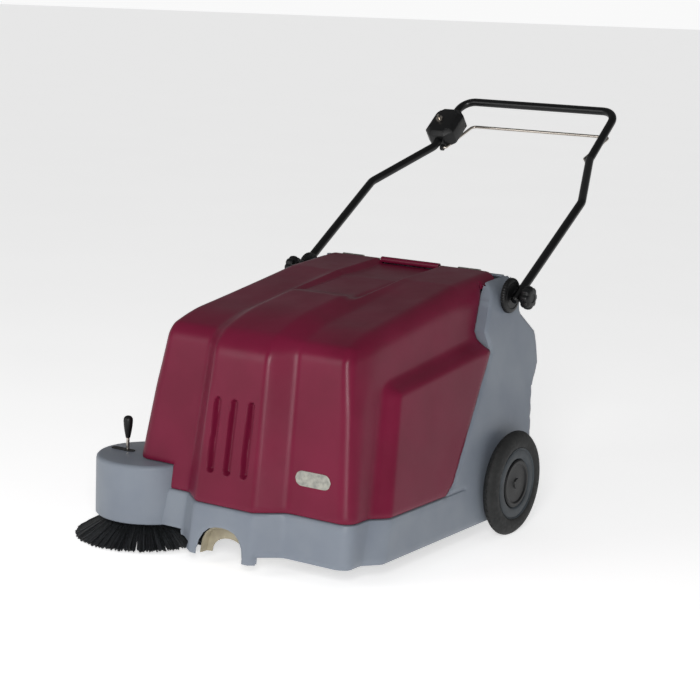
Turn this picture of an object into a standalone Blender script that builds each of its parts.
"""Walk-behind sweeper: an assembly of separate solids, in metres, +Z up, front towards -Y.

Everything is modelled about the machine's own middle plane (x = 0) and floor (z = 0), and hangs
under one empty that puts the middle of the whole object's footprint at the world's origin.
"""

import math

import bmesh
import bpy
from mathutils import Matrix, Vector

# ---- driving dimensions ---------------------------------------------------------------------
GAP = 0.0004                    # left between neighbours that touch on the real machine

PARTING_Z = 0.147               # where the hood meets the base
BASE_Z = 0.0465                 # underside of the base
BODY_HALF = 0.312               # half width of the hood's main sides at the parting line
PANEL_RAISE = 0.032             # how far the side panels stand out from the main sides
FRONT_Y = -0.4545               # front shoulders at the parting line
REAR_Y = 0.41                   # rearmost reach of the side panels
HOOD_REAR_Y = 0.262
HINGE = (0.2685, 0.630)
PROUD = 0.051                   # the centre of the front stands out this far
PROUD_HALF, PROUD_FOOT = 0.082, 0.1414
SIDE_DRAFT = 0.112              # metres in for each metre up
FRONT_DRAFT = 0.154
PANEL_DRAFT = 0.30              # lean of the side panel's front edge
PANEL_FRONT = (-0.373, -0.336)  # foot and crest of the side panel's front chamfer
PANEL_TOP = (0.70, 0.653)       # the same for its top chamfer, as parts of the hood's height
TOP_LINE = ((-0.46, 0.528), (-0.24, 0.563), (0.08, 0.619), (0.26, 0.634), (0.42, 0.634))
BLOCK_H = 0.44                  # height of the plain block that the body is shaped from
WALL = 0.005
RECESS_HALF, RECESS_FRONT, RECESS_DEEP = 0.087, -0.25, 0.014

SEAM = ((-0.089, 0.147), (-0.053, 0.171), (0.164, 0.454), (0.139, 0.504), (0.195, 0.621),
        (0.205, 0.70))          # side view of the line between hood and side panel
REAR_LINE = ((0.262, 0.70), (0.262, 0.637), (0.288, 0.636), (0.330, 0.604), (0.321, 0.533),
             (0.395, 0.476), (0.402, 0.398), (0.361, 0.338), (0.339, 0.227), (0.330, 0.0))

WHEEL_Y, WHEEL_R, WHEEL_IN, WHEEL_OUT = 0.190, 0.130, 0.3495, 0.384
AXLE_R = 0.008

HANDLE_X, HANDLE_TOP_X, TUBE_R = 0.322, 0.242, 0.011
PIVOT_Y, PIVOT_Z = 0.252, 0.583
LEG_LINE = ((0.577, 0.792), (0.773, 0.886), (0.926, 1.007))  # bends of a leg and the top bar
DISC_R, KNOB_R, STUD_R = 0.044, 0.0295, 0.004

BAIL_X, BAIL_R = 0.216, 0.004
BAIL_Y, BAIL_Z = 0.790, 0.883
BAIL_BAR = (0.940, 0.936)

CONTROL_X, CONTROL_SIZE = -0.245, (0.090, 0.115, 0.056)

BROOM_Y, BROOM_Z, BROOM_R, BROOM_HALF = -0.105, 0.1255, 0.125, 0.245
FRAME_HALF, SHEET = 0.270, 0.003
BEARING_R = 0.018
PULLEY_X, PULLEY_WIDE = 0.2885, 0.016
PULLEY_R, MOTOR_PULLEY_R = 0.050, 0.025
MOTOR_Y, MOTOR_Z = -0.020, 0.320
BELT = 0.005

SIDE_X, SIDE_Y, SIDE_R = -0.308, -0.386, 0.175
HOUSING_R, HOUSING_LOW, HOUSING_TOP = 0.130, 0.058, 0.200
SIDE_TILT = (math.radians(1.0), math.radians(-1.5), 0.0)
LEVER_X, LEVER_Y, LEVER_Z = -0.368, -0.400, 0.172

CASTER_Y, CASTER_TRAIL, CASTER_R, CASTER_HALF = -0.385, 0.030, 0.040, 0.014

HOPPER_HALF = 0.262
HOPPER_LINE = ((0.055, 0.062), (0.322, 0.062), (0.331, 0.227), (0.352, 0.338), (0.392, 0.402),
               (0.385, 0.470), (0.350, 0.505), (0.055, 0.505))

X_SPAN = (SIDE_X - SIDE_R, WHEEL_OUT)
Y_SPAN = (SIDE_Y - SIDE_R, BAIL_BAR[0] + BAIL_R)
CENTRE = ((X_SPAN[0] + X_SPAN[1]) / 2, (Y_SPAN[0] + Y_SPAN[1]) / 2)

PAINTS = {
    "hood_maroon": ("6e2338", 0.38, 0.0),
    "base_grey": ("8b93a0", 0.50, 0.0),
    "black_plastic": ("17181a", 0.45, 0.0),
    "dark_plastic": ("2b2e31", 0.50, 0.0),
    "black_paint": ("101113", 0.32, 0.2),
    "frame_paint": ("26282b", 0.50, 0.3),
    "bright_steel": ("b9b6b0", 0.25, 1.0),
    "zinc_plate": ("a9a79c", 0.38, 1.0),
    "cast_alloy": ("9a9ca0", 0.45, 0.9),
    "tyre_rubber": ("131415", 0.80, 0.0),
    "rim_grey": ("42474c", 0.55, 0.0),
    "caster_rubber": ("9b9482", 0.70, 0.0),
    "belt_rubber": ("1a1a1b", 0.75, 0.0),
    "flap_rubber": ("a1987f", 0.75, 0.0),
    "bristle": ("1b1c1e", 0.70, 0.0),
    "filter_paper": ("cfc7ae", 0.85, 0.0),
    "battery_case": ("202225", 0.45, 0.0),
    "strap_web": ("33363a", 0.80, 0.0),
}


# ---- scene and materials --------------------------------------------------------------------
def clear_scene():
    for obj in list(bpy.data.objects):
        bpy.data.objects.remove(obj)


def linear(value):
    return value / 12.92 if value <= 0.04045 else ((value + 0.055) / 1.055) ** 2.4


def paint_for(node, paint):
    code, roughness, metallic = PAINTS[paint]
    material = bpy.data.materials.new(f"{paint}_{node}")
    material.use_nodes = True
    shader = material.node_tree.nodes["Principled BSDF"]
    rgb = [linear(int(code[i:i + 2], 16) / 255) for i in (0, 2, 4)]
    shader.inputs["Base Color"].default_value = (*rgb, 1.0)
    shader.inputs["Roughness"].default_value = roughness
    shader.inputs["Metallic"].default_value = metallic
    return material


def new_collection(name):
    collection = bpy.data.collections.new(name)
    bpy.context.scene.collection.children.link(collection)
    return collection


clear_scene()
SWEEPER = new_collection("walk_behind_sweeper")
CUTTERS = new_collection("cutters")
ROOT = bpy.data.objects.new("sweeper_frame", None)
ROOT.location = (-CENTRE[0], -CENTRE[1], 0.0)
SWEEPER.objects.link(ROOT)


def place(obj, paint=None, location=(0, 0, 0), rotation=(0, 0, 0)):
    """Puts a finished object in the sweeper with its paint, or with no paint among the cutters."""
    (SWEEPER if paint else CUTTERS).objects.link(obj)
    obj.parent = ROOT
    obj.location = location
    obj.rotation_euler = rotation
    if paint:
        obj.data.materials.append(paint_for(obj.name, paint))
    else:
        obj.hide_render = True
        obj.display_type = "WIRE"
    return obj


def from_bmesh(name, bm, paint=None, location=(0, 0, 0), rotation=(0, 0, 0), smooth=0.0):
    mesh = bpy.data.meshes.new(name)
    bm.to_mesh(mesh)
    bm.free()
    if smooth:
        mesh.shade_smooth()
        mesh.set_sharp_from_angle(angle=math.radians(smooth))
    return place(bpy.data.objects.new(name, mesh), paint, location, rotation)


# ---- shapes ---------------------------------------------------------------------------------
def block(name, size, centre, paint=None, rotation=(0, 0, 0), bevel=0.0, segments=2):
    bm = bmesh.new()
    bmesh.ops.create_cube(bm, size=1.0)
    bmesh.ops.scale(bm, vec=size, verts=bm.verts)
    if bevel:
        bmesh.ops.bevel(bm, geom=bm.edges[:], offset=bevel, segments=segments, profile=0.5,
                        affect="EDGES", clamp_overlap=True)
    return from_bmesh(name, bm, paint, centre, rotation, 40.0 if bevel else 0.0)


def axis_turn(axis):
    """The rotation that takes the Z axis to the named axis."""
    return {"x": Matrix.Rotation(math.pi / 2, 4, "Y"), "y": Matrix.Rotation(-math.pi / 2, 4, "X"),
            "z": Matrix.Identity(4)}[axis]


def rod(name, radius, low, high, centre, axis="z", paint=None, sides=24):
    """A round bar from low to high along an axis through centre's other two coordinates."""
    bm = bmesh.new()
    bmesh.ops.create_cone(bm, cap_ends=True, segments=sides, radius1=radius, radius2=radius,
                          depth=high - low)
    bmesh.ops.translate(bm, vec=(0, 0, (low + high) / 2), verts=bm.verts)
    bmesh.ops.transform(bm, matrix=axis_turn(axis), verts=bm.verts)
    return from_bmesh(name, bm, paint, centre, smooth=40.0)


def turned(name, profile, centre, axis="z", paint=None, sides=24, rotation=None):
    """A turned solid. The profile is (radius, height) pairs down its outer side, top to bottom."""
    mesh = bpy.data.meshes.new(name)
    mesh.from_pydata([(r, 0.0, h) for r, h in profile],
                     [(i, i + 1) for i in range(len(profile) - 1)], [])
    obj = bpy.data.objects.new(name, mesh)
    turn = {"x": (0, math.pi / 2, 0), "y": (-math.pi / 2, 0, 0), "z": (0, 0, 0)}[axis]
    place(obj, paint, centre, rotation or turn)
    screw = obj.modifiers.new("turn", "SCREW")
    screw.steps = sides
    screw.render_steps = sides
    screw.use_merge_vertices = True
    screw.merge_threshold = 0.00005
    screw.use_smooth_shade = False
    return obj


def ring(name, inner, outer, low, high, centre, axis="z", paint=None, sides=32, rotation=None):
    """A turned ring: its profile is a closed loop round the wall's section."""
    loop = [(inner, high), (outer, high), (outer, low), (inner, low), (inner, high)]
    return turned(name, loop, centre, axis, paint, sides, rotation)


def side_prism(name, outline, low, high, paint=None):
    """A plate whose outline is (y, z) pairs, from x = low to x = high."""
    bm = bmesh.new()
    face = bm.faces.new([bm.verts.new((low, y, z)) for y, z in outline])
    grown = bmesh.ops.extrude_face_region(bm, geom=[face])["geom"]
    moved = [v for v in grown if isinstance(v, bmesh.types.BMVert)]
    bmesh.ops.translate(bm, vec=(high - low, 0, 0), verts=moved)
    bmesh.ops.recalc_face_normals(bm, faces=bm.faces)
    return from_bmesh(name, bm, paint)


def rounded_path(corners, radius, steps=5):
    """The points of a bent rod: straight runs joined by arcs of the given bend radius."""
    corners = [Vector(c) for c in corners]
    points = [corners[0]]
    for before, corner, after in zip(corners, corners[1:], corners[2:]):
        a, b = (before - corner).normalized(), (after - corner).normalized()
        half = a.angle(b) / 2
        reach = min(radius / math.tan(half), 0.45 * min((before - corner).length,
                                                        (after - corner).length))
        centre = corner + (a + b).normalized() * reach / math.cos(half)
        start, end = corner + a * reach - centre, corner + b * reach - centre
        turn = start.angle(end)
        for i in range(steps + 1):
            t = i / steps
            spot = (math.sin((1 - t) * turn) * start + math.sin(t * turn) * end) / math.sin(turn)
            points.append(centre + spot)
    return points + [corners[-1]]


def bent_rod(name, corners, radius, bend, paint, steps=5):
    """A rod or tube along rounded corners, as a mesh that can be cut."""
    curve = bpy.data.curves.new(name + "_path", "CURVE")
    curve.dimensions = "3D"
    curve.bevel_depth = radius
    curve.bevel_resolution = 3
    curve.use_fill_caps = True
    path = rounded_path(corners, bend, steps)
    spline = curve.splines.new("POLY")
    spline.points.add(len(path) - 1)
    for point, spot in zip(spline.points, path):
        point.co = (*spot, 1.0)
    guide = bpy.data.objects.new(name + "_path", curve)
    bpy.context.scene.collection.objects.link(guide)
    evaluated = guide.evaluated_get(bpy.context.evaluated_depsgraph_get())
    mesh = bpy.data.meshes.new_from_object(evaluated)
    bpy.data.objects.remove(guide)
    bm = bmesh.new()
    bm.from_mesh(mesh)
    bmesh.ops.remove_doubles(bm, verts=bm.verts, dist=0.00005)
    bmesh.ops.recalc_face_normals(bm, faces=bm.faces)
    return from_bmesh(name, bm, paint, smooth=40.0)


def combine(target, tool, operation="DIFFERENCE"):
    change = target.modifiers.new(f"{operation.lower()}_{tool.name}", "BOOLEAN")
    change.operation = operation
    change.solver = "EXACT"
    change.object = tool
    return target


# ---- the body's outer skin ------------------------------------------------------------------
def ramp(value, start, end):
    return min(1.0, max(0.0, (value - start) / (end - start)))


def along(line, value):
    """The height of a line of (position, height) pairs at a position."""
    for (a, low), (b, high) in zip(line, line[1:]):
        if value <= b:
            return low + (high - low) * ramp(value, a, b)
    return line[-1][1]


def rounded(spot):
    """Rounds the block's front, side and top edges, and gives which way each point faces."""
    front_r = 0.035 + 0.030 * ramp(spot.z, 0.6 * BLOCK_H, 0.9 * BLOCK_H)
    radii = Vector((0.038, front_r, 0.052))
    core = Vector((max(-BODY_HALF + radii.x, min(BODY_HALF - radii.x, spot.x)),
                   max(FRONT_Y + radii.y, spot.y), min(BLOCK_H - radii.z, spot.z)))
    away = Vector((d / r for d, r in zip(spot - core, radii)))
    if away.length < 1e-6:
        return spot.copy(), away
    facing = away.normalized()
    return core + Vector((n * r for n, r in zip(facing, radii))), facing


def shaped(spot, whole_panel):
    """Takes a point of the plain block to the body: panels first, then lean, draft and slope."""
    y_block, height = spot.y, spot.z / BLOCK_H
    spot, facing = rounded(spot)
    centre = ramp(-abs(spot.x), -PROUD_FOOT, -PROUD_HALF)
    side = ramp(y_block, *PANEL_FRONT)
    if not whole_panel:
        side *= ramp(-height, -PANEL_TOP[0], -PANEL_TOP[1])
    spot.y -= PROUD * centre * max(0.0, -facing.y)
    spot.x += math.copysign(PANEL_RAISE * side * abs(facing.x), spot.x)
    lean = along(((FRONT_Y, FRONT_DRAFT), (PANEL_FRONT[0], PANEL_DRAFT), (0.10, 0.0), (1, 0)),
                 y_block)
    up = max(0.0, facing.z)
    top = along(TOP_LINE, spot.y + lean * max(0.0, spot.z))
    plateau = 0.024 * centre * ramp(-y_block, -0.10, 0.25)
    trough = RECESS_DEEP * ramp(-abs(spot.x), -RECESS_HALF, -RECESS_HALF + 0.008)
    trough *= ramp(y_block, RECESS_FRONT, RECESS_FRONT + 0.012)
    if spot.z > 0:
        spot.z *= (top - PARTING_Z) / BLOCK_H
    spot.z += up * (plateau - trough)
    spot.y += lean * spot.z
    spot.x -= SIDE_DRAFT * (spot.z if spot.z > 0 else 0.35 * spot.z) * spot.x / BODY_HALF
    spot.z += PARTING_Z
    return spot


def body_skin(name, low, whole_panel, paint):
    """The body's wall: a block opened below and behind, cut into strips, shaped and thickened."""
    bm = bmesh.new()
    bmesh.ops.create_cube(bm, size=1.0)
    for v in bm.verts:
        v.co.x *= 2 * BODY_HALF
        v.co.y = FRONT_Y if v.co.y < 0 else REAR_Y
        v.co.z = low if v.co.z < 0 else BLOCK_H
    away = [f for f in bm.faces if f.normal.z < -0.5 or f.normal.y > 0.5]
    bmesh.ops.delete(bm, geom=away, context="FACES_ONLY")
    xs = (0.02, 0.05, RECESS_HALF - 0.008, PROUD_HALF, RECESS_HALF + 0.001, PROUD_FOOT,
          BODY_HALF - 0.038, BODY_HALF - 0.019)
    ys = (FRONT_Y + 0.016, FRONT_Y + 0.035, FRONT_Y + 0.065, *PANEL_FRONT, -0.29, RECESS_FRONT,
          RECESS_FRONT + 0.012, -0.17, -0.10, 0.0, 0.10, 0.19)
    zs = [BLOCK_H * part for part in (0.3, 0.6, *PANEL_TOP, 0.78)]
    zs += [BLOCK_H - 0.052, BLOCK_H - 0.026]
    planes = [((sign * x, 0, 0), (1, 0, 0)) for x in xs for sign in (-1, 1)]
    planes += [((0, y, 0), (0, 1, 0)) for y in ys]
    planes += [((0, 0, z), (0, 0, 1)) for z in zs]
    for point, normal in planes:
        bmesh.ops.bisect_plane(bm, geom=bm.verts[:] + bm.edges[:] + bm.faces[:],
                               plane_co=point, plane_no=normal)
    for v in bm.verts:
        v.co = shaped(v.co.copy(), whole_panel)
    obj = from_bmesh(name, bm, paint, smooth=35.0)
    wall = obj.modifiers.new("wall", "SOLIDIFY")
    wall.thickness = WALL
    wall.offset = -1.0
    wall.use_even_offset = True
    return obj


# ---- body pieces ----------------------------------------------------------------------------
def make_hood():
    hood = body_skin("hood", 0.002, False, "hood_maroon")
    behind = [*SEAM, (0.60, 0.70), (0.60, -0.1), (-0.089, -0.1)]
    for sign, side in ((-1, "right"), (1, "left")):
        ends = sorted((sign * (BODY_HALF - 0.056), sign * 0.5))
        combine(hood, side_prism(f"seam_{side}", behind, *ends))
    combine(hood, block("hood_rear_end", (1.2, 0.4, 1.2), (0, HOOD_REAR_Y + 0.2, 0.5)))
    combine(hood, rod("housing_clearance", HOUSING_R + 0.003, -0.1, HOUSING_TOP + 0.003,
                      (SIDE_X, SIDE_Y, 0), sides=40))
    swing = [(-0.7, -0.1), (-0.7, HOUSING_TOP + 0.003), (-0.2505, HOUSING_TOP + 0.003),
             (-0.201, PARTING_Z), (-0.201, -0.1)]
    combine(hood, side_prism("housing_swing", swing, -0.5, -0.2))
    for i, x in enumerate((-0.049, 0.0, 0.045)):
        y = FRONT_Y - PROUD + FRONT_DRAFT * 0.155
        combine(hood, block(f"louvre_{i}", (0.016, 0.040, 0.170), (x, y, 0.302),
                            rotation=(-math.atan(FRONT_DRAFT), 0, 0)))
    return hood


def flanges(gap):
    """The return walls between side panel and hood, along the two upper runs of the seam."""
    (y0, z0), (y1, z1), (y2, z2) = SEAM[2:5]
    y0, y1, y2 = y0 + gap, y1 + gap, y2 + gap
    low = [(y0, z0), (y1, z1), (y1 + 0.004, z1), (y0 + 0.004, z0)]
    high = [(y1, z1 - 0.002), (y2, z2 + 0.004), (y2 + 0.004, z2 + 0.004),
            (y1 + 0.004, z1 - 0.002)]
    return (low, 0.3005), (high, 0.2885)


def make_base():
    base = body_skin("base_shell", BASE_Z - PARTING_Z, True, "base_grey")
    gap = 0.0015
    hood_room = [(-0.8, PARTING_Z - 0.001)]
    hood_room += [(y + gap, z - (0.001 if z < 0.16 else 0.0)) for y, z in SEAM]
    hood_room += [(SEAM[-1][0] + gap, 0.9), (-0.8, 0.9)]
    combine(base, side_prism("hood_room", hood_room, -0.2, 0.6))
    tail = [(-0.8, HOUSING_TOP + 0.001), (-0.2525, HOUSING_TOP + 0.001),
            (-0.2035, PARTING_Z - 0.001)]
    combine(base, side_prism("hood_room_right", tail + hood_room[1:], -0.6, -0.2001))
    combine(base, block("roof_cut", (0.524, 1.2, 0.6), (0, 0.1, PARTING_Z + 0.3 + 0.001)))
    for sign, side in ((-1, "right"), (1, "left")):
        for i, (outline, reach) in enumerate(flanges(gap)):
            ends = sorted((sign * 0.262, sign * reach))
            combine(base, side_prism(f"flange_{i}_{side}", outline, *ends), "UNION")
    behind = [*REAR_LINE, (0.8, 0.0), (0.8, 0.70)]
    combine(base, side_prism("behind_base", behind, -0.6, 0.6))
    combine(base, rod("bristle_room", SIDE_R + 0.004, -0.1, HOUSING_LOW + 0.001,
                      (SIDE_X, SIDE_Y, 0), sides=40))
    middle = (SIDE_X, SIDE_Y, 0)
    combine(base, rod("broom_housing", HOUSING_R, HOUSING_LOW, HOUSING_TOP, middle, sides=40),
            "UNION")
    combine(base, rod("housing_hollow", HOUSING_R - 0.004, 0.0, HOUSING_TOP - 0.004, middle,
                      sides=40))
    combine(base, block("lever_slot", (0.062, 0.016, 0.05),
                        (LEVER_X - 0.020, LEVER_Y, HOUSING_TOP)))
    for sign, side in ((-1, "front"), (1, "back")):
        combine(base, block(f"lever_ear_{side}", (0.020, 0.004, 0.036),
                            (LEVER_X, LEVER_Y + sign * 0.0115, 0.181)), "UNION")
    combine(base, rod("lever_pin_hole", 0.0044, -0.03, 0.03, (LEVER_X, LEVER_Y, LEVER_Z), "y",
                      sides=16))
    arch = [(-0.066, 0.0), (-0.060, 0.062), (-0.036, 0.094), (0.0, 0.098), (0.036, 0.094),
            (0.060, 0.062), (0.066, 0.0)]
    bm = bmesh.new()
    face = bm.faces.new([bm.verts.new((x, -0.7, z)) for x, z in arch])
    grown = bmesh.ops.extrude_face_region(bm, geom=[face])["geom"]
    moved = [v for v in grown if isinstance(v, bmesh.types.BMVert)]
    bmesh.ops.translate(bm, vec=(0, 0.4, 0), verts=moved)
    bmesh.ops.recalc_face_normals(bm, faces=bm.faces)
    combine(base, from_bmesh("front_arch", bm))
    for sign, side in ((-1, "right"), (1, "left")):
        ends = sorted((sign * 0.25, sign * 0.5))
        combine(base, rod(f"axle_hole_{side}", AXLE_R + GAP, *ends, (0, WHEEL_Y, WHEEL_R), "x",
                          sides=20))
        combine(base, rod(f"stud_hole_{side}", STUD_R + 0.0005, *ends, (0, PIVOT_Y, PIVOT_Z), "x",
                          sides=16))
    return base


def make_rear_panel():
    outer = [(0.276, 0.627), (0.286, 0.627), (0.324, 0.600), (0.317, 0.530), (0.342, 0.512)]
    inner = [(0.3395, 0.509), (0.312, 0.529), (0.3195, 0.598), (0.284, 0.623), (0.276, 0.623)]
    return side_prism("rear_panel", outer + inner, -0.262, 0.262, "base_grey")


def make_chassis():
    low, high, wall = 0.060, 0.268, SHEET
    frame = block("chassis_frame", (2 * FRAME_HALF, 0.41, high - low),
                  (0, -0.155, (low + high) / 2), "frame_paint")
    combine(frame, block("frame_inside", (2 * (FRAME_HALF - wall), 0.60, high - low),
                         (0, -0.150, (low + high) / 2 - wall)))
    for sign, side in ((-1, "right"), (1, "left")):
        combine(frame, block(f"frame_foot_{side}", (0.020, 0.41, wall),
                             (sign * (FRAME_HALF - 0.010), -0.155, low + wall / 2)), "UNION")
    combine(frame, rod("frame_corner_cut", HOUSING_R + 0.003, -0.1, HOUSING_TOP + 0.003,
                       (SIDE_X, SIDE_Y, 0), sides=40))
    for sign, side in ((-1, "right"), (1, "left")):
        ends = sorted((sign * 0.24, sign * 0.30))
        combine(frame, rod(f"bearing_hole_{side}", BEARING_R + GAP, *ends, (0, BROOM_Y, BROOM_Z),
                           "x"))
    outline = [(-0.352, 0.264), (-0.349, 0.264), (-0.349, 0.1195), (-0.445, 0.1195),
               (-0.445, 0.1225), (-0.352, 0.1225)]
    bracket = side_prism("caster_bracket", outline, -0.045, 0.045, "frame_paint")
    return frame, bracket


def make_hinge():
    """A hinge along the hood's rear edge: leaves under the hood, brackets under the panel."""
    y, z = HINGE
    rod("hood_hinge_pin", 0.003, -0.210, 0.210, (0, y, z), "x", "bright_steel", 16)
    pieces = (("hood_hinge_leaf", 0.190, 0.0385, -0.01925, -0.0079),
              ("hood_hinge_bracket", 0.157, 0.0140, 0.0070, -0.0095))
    for name, x, length, dy, dz in pieces:
        for sign, side in ((-1, "right"), (1, "left")):
            plate = block(f"{name}_{side}", (0.030, length, 0.003),
                          (sign * x, y + dy, z + dz), "zinc_plate")
            knuckle = rod(f"{name}_knuckle_{side}", 0.0058, -0.015, 0.015, (sign * x, y, z), "x",
                          sides=20)
            combine(plate, knuckle, "UNION")
            web = block(f"{name}_web_{side}", (0.030, 0.004, 0.008),
                        (sign * x, y + math.copysign(0.0036, dy), z - 0.0060))
            combine(plate, web, "UNION")
            combine(plate, rod(f"{name}_bore_{side}", 0.0032, -0.03, 0.03, (sign * x, y, z), "x",
                               sides=16))


# ---- main broom and its drive ---------------------------------------------------------------
def make_main_broom():
    at = (0, BROOM_Y, BROOM_Z)
    rod("main_broom_shaft", 0.008, -0.285, 0.305, at, "x", "bright_steel", 16)
    ring("main_broom_core", 0.0084, 0.045, -BROOM_HALF - 0.006, BROOM_HALF + 0.006, at, "x",
         "black_plastic", 24)
    ring("main_broom_bristles", 0.0454, BROOM_R, -BROOM_HALF, BROOM_HALF, at, "x", "bristle", 36)
    for sign, side in ((-1, "right"), (1, "left")):
        ends = sorted((sign * 0.2562, sign * 0.2740))
        ring(f"broom_bearing_{side}", 0.00815, BEARING_R, *ends, at, "x", "bright_steel", 24)
    wide = PULLEY_WIDE / 2
    ring("broom_pulley", 0.0084, PULLEY_R, PULLEY_X - wide, PULLEY_X + wide, at, "x",
         "cast_alloy", 32)


def make_broom_drive():
    at = (0, MOTOR_Y, MOTOR_Z)
    motor = rod("broom_motor", 0.046, 0.100, 0.262, at, "x", "dark_plastic", 28)
    combine(motor, rod("motor_nose", 0.024, 0.250, 0.272, at, "x", sides=20), "UNION")
    combine(motor, rod("motor_shaft", 0.006, 0.260, 0.300, at, "x", sides=16), "UNION")
    wide = PULLEY_WIDE / 2
    ring("motor_pulley", 0.0064, MOTOR_PULLEY_R, PULLEY_X - wide, PULLEY_X + wide, at, "x",
         "cast_alloy", 24)
    make_belt()


def belt_outline(grow):
    """The loop round both pulleys, with the two straight runs tangent to them."""
    low, high = Vector((BROOM_Y, BROOM_Z)), Vector((MOTOR_Y, MOTOR_Z))
    reach = high - low
    heading = math.atan2(reach.y, reach.x)
    spread = math.acos((PULLEY_R - MOTOR_PULLEY_R) / reach.length)
    points = []
    arcs = ((low, PULLEY_R + grow, heading + spread, heading + 2 * math.pi - spread, 18),
            (high, MOTOR_PULLEY_R + grow, heading - spread, heading + spread, 9))
    for middle, radius, start, end, steps in arcs:
        for i in range(steps + 1):
            a = start + (end - start) * i / steps
            points.append((middle.x + radius * math.cos(a), middle.y + radius * math.sin(a)))
    return points


def make_belt():
    wide = PULLEY_WIDE / 2 - 0.002
    belt = side_prism("drive_belt", belt_outline(BELT + 0.0005), PULLEY_X - wide,
                      PULLEY_X + wide, "belt_rubber")
    combine(belt, side_prism("belt_inside", belt_outline(0.0005), 0.2, 0.4))


# ---- side broom -----------------------------------------------------------------------------
def make_side_broom():
    tilt = SIDE_TILT
    low = (SIDE_X, SIDE_Y, 0.0062)
    motor = turned("side_broom_motor", [(0.0, 0.150), (0.038, 0.150), (0.040, 0.146),
                                        (0.040, 0.086), (0.016, 0.084), (0.016, 0.076),
                                        (0.0, 0.076)], low, "z", "dark_plastic", 24, tilt)
    hub = turned("side_broom_hub", [(0.0, 0.0755), (0.020, 0.0755), (0.062, 0.064),
                                    (0.068, 0.056), (0.060, 0.048), (0.0, 0.048)], low, "z",
                 "black_plastic", 28, tilt)
    loop = [(0.0690, 0.0640), (0.082, 0.059), (0.130, 0.032), (SIDE_R + 0.0001, 0.0),
            (0.146, 0.0), (0.105, 0.022), (0.0700, 0.040), (0.0690, 0.0640)]
    turned("side_broom_bristles", loop, low, "z", "bristle", 40, tilt)
    return motor, hub


def make_lift_lever():
    at = (LEVER_X, LEVER_Y, LEVER_Z)
    rod("lift_lever_pin", 0.004, -0.016, 0.016, (LEVER_X, LEVER_Y, LEVER_Z), "y", "bright_steel",
        16)
    lever = rod("lift_lever", 0.004, 0.0, 0.075, at, "z", "bright_steel", 16)
    combine(lever, rod("lever_eye", 0.0095, -0.005, 0.005, at, "y", sides=20), "UNION")
    combine(lever, rod("lever_bore", 0.0044, -0.02, 0.02, at, "y", sides=16))
    grip = [(0.0, 0.112), (0.0085, 0.110), (0.0115, 0.102), (0.0105, 0.085), (0.006, 0.060),
            (0.0044, 0.0585), (0.0044, 0.0755), (0.0, 0.0755)]
    turned("lift_lever_grip", grip, at, "z", "black_plastic", 20)


# ---- hopper, filter and fan -----------------------------------------------------------------
def make_hopper():
    hopper = side_prism("hopper", HOPPER_LINE, -HOPPER_HALF, HOPPER_HALF, "dark_plastic")
    inside = [(0.059, 0.066), (0.318, 0.066), (0.327, 0.228), (0.348, 0.340), (0.388, 0.404),
              (0.381, 0.468), (0.345, 0.60), (0.059, 0.60)]
    combine(hopper, side_prism("hopper_inside", inside, -HOPPER_HALF + 0.004,
                               HOPPER_HALF - 0.004))
    combine(hopper, block("hopper_mouth", (0.50, 0.10, 0.40), (0, 0.055, 0.125 + 0.200)))
    y, z = 0.3925, 0.436
    grip = bent_rod("hopper_grip", [(-0.10, y + 0.0005, z), (-0.10, y + 0.034, z),
                                    (0.10, y + 0.034, z), (0.10, y + 0.0005, z)], 0.006, 0.014,
                    "black_plastic", 3)
    return hopper, grip


def make_filter_and_fan():
    middle = (0, 0.1855, 0.540)
    frame = block("filter_frame", (0.400, 0.251, 0.040), middle, "dark_plastic")
    combine(frame, block("filter_window", (0.376, 0.227, 0.060), middle))
    block("filter_element", (0.375, 0.226, 0.030), middle, "filter_paper")
    at = (0.0, -0.125, 0.0)
    shell = rod("fan_housing", 0.075, 0.475, 0.530, at, "z", "dark_plastic", 28)
    combine(shell, rod("fan_room", 0.070, 0.470, 0.525, at, sides=28))
    combine(shell, rod("fan_inlet", 0.030, 0.515, 0.540, at, sides=20))
    combine(shell, block("fan_outlet", (0.040, 0.050, 0.040), (0.0, -0.195, 0.500)))
    turned("fan_impeller", [(0.0, 0.518), (0.012, 0.518), (0.014, 0.506), (0.062, 0.500),
                            (0.062, 0.482), (0.0, 0.482)], at, "z", "cast_alloy", 24)
    turned("fan_motor", [(0.0, 0.4745), (0.038, 0.4745), (0.038, 0.405), (0.016, 0.400),
                         (0.016, 0.276), (0.045, 0.272), (0.045, 0.2685), (0.0, 0.2685)], at,
           "z", "dark_plastic", 24)


def make_batteries():
    for sign, side in ((-1, "right"), (1, "left")):
        block(f"battery_{side}", (0.170, 0.165, 0.125), (sign * 0.0880, -0.265, 0.3310),
              "battery_case", bevel=0.004, segments=1)
    y0, y1, z0, z1 = -0.352, -0.178, 0.2685, 0.3945
    outer = [(y0 - 0.002, z0), (y0 - 0.002, z1 + 0.002), (y1 + 0.002, z1 + 0.002),
             (y1 + 0.002, z0)]
    inner = [(y1, z0), (y1, z1), (y0, z1), (y0, z0)]
    side_prism("battery_strap", outer + inner, -0.020, 0.020, "strap_web")


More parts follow.
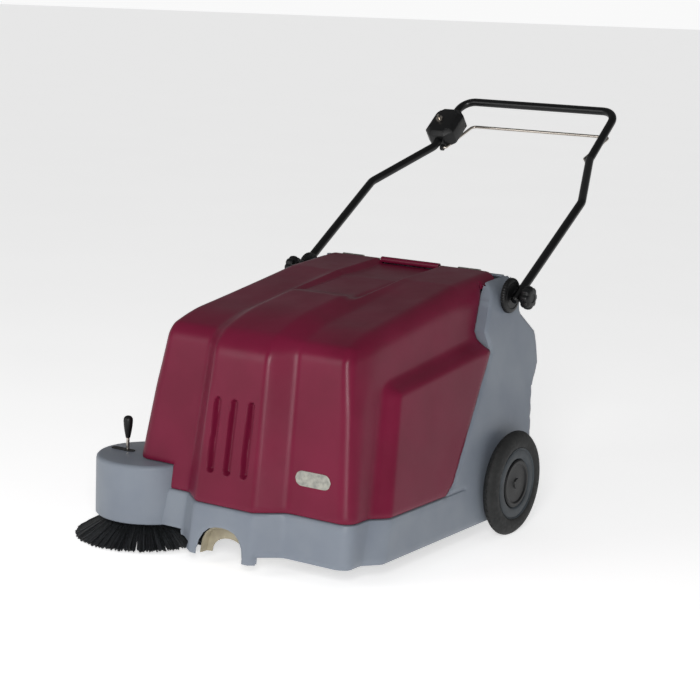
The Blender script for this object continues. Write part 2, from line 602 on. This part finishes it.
# ---- wheels and caster ----------------------------------------------------------------------
def make_wheel(sign, side):
    at = (0, WHEEL_Y, WHEEL_R)
    turn = (0, math.copysign(math.pi / 2, sign), 0)
    half = (WHEEL_OUT - WHEEL_IN) / 2
    centre = (sign * (WHEEL_IN + half), WHEEL_Y, WHEEL_R)
    tyre = [(0.0896, half - 0.002), (0.104, half), (0.122, half - 0.003),
            (WHEEL_R, half - 0.011), (WHEEL_R, -half + 0.011), (0.122, -half + 0.003),
            (0.104, -half), (0.0896, -half + 0.002), (0.0896, half - 0.002)]
    turned(f"tyre_{side}", tyre, centre, paint="tyre_rubber", sides=40, rotation=turn)
    rim = [(0.0604, half - 0.004), (0.0890, half - 0.004), (0.0890, -half + 0.004),
           (0.0604, -half + 0.004), (0.0604, -0.004), (0.0244, -0.004), (0.0244, -half + 0.002),
           (AXLE_R + 0.0002, -half + 0.002), (AXLE_R + 0.0002, 0.004), (0.0604, 0.004),
           (0.0604, half - 0.004)]
    turned(f"wheel_rim_{side}", rim, centre, paint="rim_grey", sides=32, rotation=turn)
    cap = [(0.0, half - 0.001), (0.040, half - 0.002), (0.0595, half - 0.006),
           (0.0600, 0.0044), (0.0, 0.0044)]
    turned(f"hub_cap_{side}", cap, centre, paint="black_plastic", sides=32, rotation=turn)
    ends = sorted((sign * 0.300, sign * (WHEEL_IN + half + 0.0035)))
    axle = rod(f"stub_axle_{side}", AXLE_R, *ends, at, "x", "bright_steel", 20)
    ends = sorted((sign * 0.328, sign * 0.300))
    combine(axle, rod(f"axle_head_{side}", 0.016, *ends, at, "x", sides=6), "UNION")


def make_caster():
    y = CASTER_Y
    wheel = (0, y + CASTER_TRAIL, CASTER_R)
    block("caster_plate", (0.080, 0.060, 0.004), (0, y, 0.1170), "zinc_plate")
    fork = turned("caster_fork", [(0.0, 0.1146), (0.024, 0.1146), (0.026, 0.106), (0.022, 0.094),
                                  (0.0, 0.094)], (0, y, 0), "z", "zinc_plate", 24)
    outline = [(y - 0.022, 0.096), (y + 0.022, 0.096), (y + 0.030 + 0.010, 0.048),
               (y + 0.030 + 0.008, 0.030), (y + 0.030 - 0.008, 0.030), (y - 0.014, 0.070)]
    combine(fork, side_prism("fork_legs", outline, -0.0205, 0.0205), "UNION")
    combine(fork, block("fork_slot", (0.034, 0.16, 0.110), (0, y + 0.02, 0.0890 - 0.055)))
    combine(fork, rod("fork_bore", 0.0044, -0.05, 0.05, wheel, "x", sides=16))
    rod("caster_axle", 0.004, -0.0235, 0.0235, wheel, "x", "bright_steel", 16)
    profile = [(0.00425, CASTER_HALF), (0.030, CASTER_HALF), (0.038, CASTER_HALF - 0.003),
               (CASTER_R, CASTER_HALF - 0.008), (CASTER_R, -CASTER_HALF + 0.008),
               (0.038, -CASTER_HALF + 0.003), (0.030, -CASTER_HALF), (0.00425, -CASTER_HALF),
               (0.00425, CASTER_HALF)]
    turned("caster_wheel", profile, wheel, "x", "caster_rubber", 32)


def make_flaps():
    y0 = -0.4655
    flap = block("front_flap", (0.200, 0.003, 0.110), (0, y0, 0.080), "flap_rubber")
    combine(flap, block("flap_arch", (0.078, 0.05, 0.100), (0, y0, 0.030), bevel=0.02,
                        segments=3))
    block("rear_flap", (0.500, 0.003, 0.120), (0, 0.040, 0.066), "belt_rubber")


# ---- handle and controls --------------------------------------------------------------------
def make_handle():
    (y1, z1), (y2, z2), (y3, z3) = LEG_LINE
    leg = [(HANDLE_X, PIVOT_Y, PIVOT_Z), (HANDLE_X, y1, z1), (HANDLE_TOP_X, y2, z2),
           (HANDLE_TOP_X, y3, z3)]
    start = Vector(leg[0]) + (Vector(leg[0]) - Vector(leg[1])).normalized() * 0.018
    leg[0] = tuple(start)
    corners = leg + [(-x, y, z) for x, y, z in reversed(leg)]
    tube = bent_rod("handle_tube", corners, TUBE_R, 0.040, "black_paint", 4)
    for sign, side in ((-1, "right"), (1, "left")):
        ends = sorted((sign * 0.29, sign * 0.36))
        combine(tube, rod(f"tube_hole_{side}", STUD_R + 0.0005, *ends, (0, PIVOT_Y, PIVOT_Z), "x",
                          sides=16))
        make_pivot(sign, side)
    return tube


def make_pivot(sign, side):
    """The big serrated disc against the panel, and the clamp knob whose stud goes through both."""
    at = (0, PIVOT_Y, PIVOT_Z)
    face = 0.2975
    turn = (0, math.copysign(math.pi / 2, sign), 0)
    disc = [(STUD_R + 0.0005, 0.0122), (0.036, 0.0122), (DISC_R, 0.0080), (DISC_R, 0.0),
            (STUD_R + 0.0005, 0.0), (STUD_R + 0.0005, 0.0122)]
    turned(f"pivot_disc_{side}", disc, (sign * face, PIVOT_Y, PIVOT_Z), paint="black_plastic",
           sides=32, rotation=turn)
    stud, start = STUD_R, 0.3345
    knob = [(0.0, 0.030), (0.018, 0.030), (KNOB_R - 0.003, 0.026), (KNOB_R, 0.020),
            (KNOB_R, 0.008), (0.016, 0.0), (stud, 0.0), (stud, -0.058), (0.0, -0.058)]
    turned(f"clamp_knob_{side}", knob, (sign * start, at[1], at[2]), paint="black_plastic",
           sides=24, rotation=turn)


def leg_slope():
    (_, _), (y2, z2), (y3, z3) = LEG_LINE
    return math.atan2(z3 - z2, y3 - y2)


def leg_spot(part):
    (_, _), (y2, z2), (y3, z3) = LEG_LINE
    return y2 + (y3 - y2) * part, z2 + (z3 - z2) * part


def make_controls():
    slope = leg_slope()
    y, z = leg_spot(0.42)
    housing = block("control_housing", CONTROL_SIZE, (CONTROL_X, y, z), "black_plastic",
                    (slope, 0, 0), bevel=0.014, segments=1)
    bore = rod("tube_bore", TUBE_R + 0.0006, -0.2, 0.2, (0, 0, 0), "y", sides=24)
    bore.location = (-HANDLE_TOP_X, y, z)
    bore.rotation_euler = (slope, 0, 0)
    combine(housing, bore)
    normal = Vector((0, -math.sin(slope), math.cos(slope)))
    spot = Vector((-BAIL_X - 0.003, y, z)) - normal * 0.018
    combine(housing, block("bail_room", (0.022, 0.2, 0.026), tuple(spot), rotation=(slope, 0, 0)))
    spot = Vector((CONTROL_X - 0.012, y, z)) + normal * (CONTROL_SIZE[2] / 2 + 0.0006)
    key = turned("key_switch", [(0.0, 0.016), (0.0035, 0.016), (0.0035, 0.005), (0.010, 0.005),
                                (0.011, 0.0), (0.0, 0.0)], tuple(spot), paint="bright_steel",
                 sides=16, rotation=(slope, 0, 0))
    return housing, key


def make_bail():
    corners = [(BAIL_X + 0.0145, BAIL_Y, BAIL_Z), (BAIL_X, BAIL_Y, BAIL_Z),
               (BAIL_X, *BAIL_BAR)]
    corners += [(-x, y, z) for x, y, z in reversed(corners)]
    bent_rod("bail_lever", corners, BAIL_R, 0.006, "bright_steel", 3)
    for sign, side in ((-1, "right"), (1, "left")):
        ends = sorted((sign * 0.2225, sign * 0.2300))
        ring(f"bail_bush_{side}", BAIL_R + 0.0003, 0.009, *ends, (0, BAIL_Y, BAIL_Z), "x",
             "black_plastic", 20)


# ---- the whole sweeper ----------------------------------------------------------------------
make_hood()
make_base()
make_rear_panel()
make_chassis()
make_hinge()
make_main_broom()
make_broom_drive()
make_side_broom()
make_lift_lever()
make_hopper()
make_filter_and_fan()
make_batteries()
for SIGN, SIDE in ((-1, "right"), (1, "left")):
    make_wheel(SIGN, SIDE)
make_caster()
make_flaps()
make_handle()
make_controls()
make_bail()
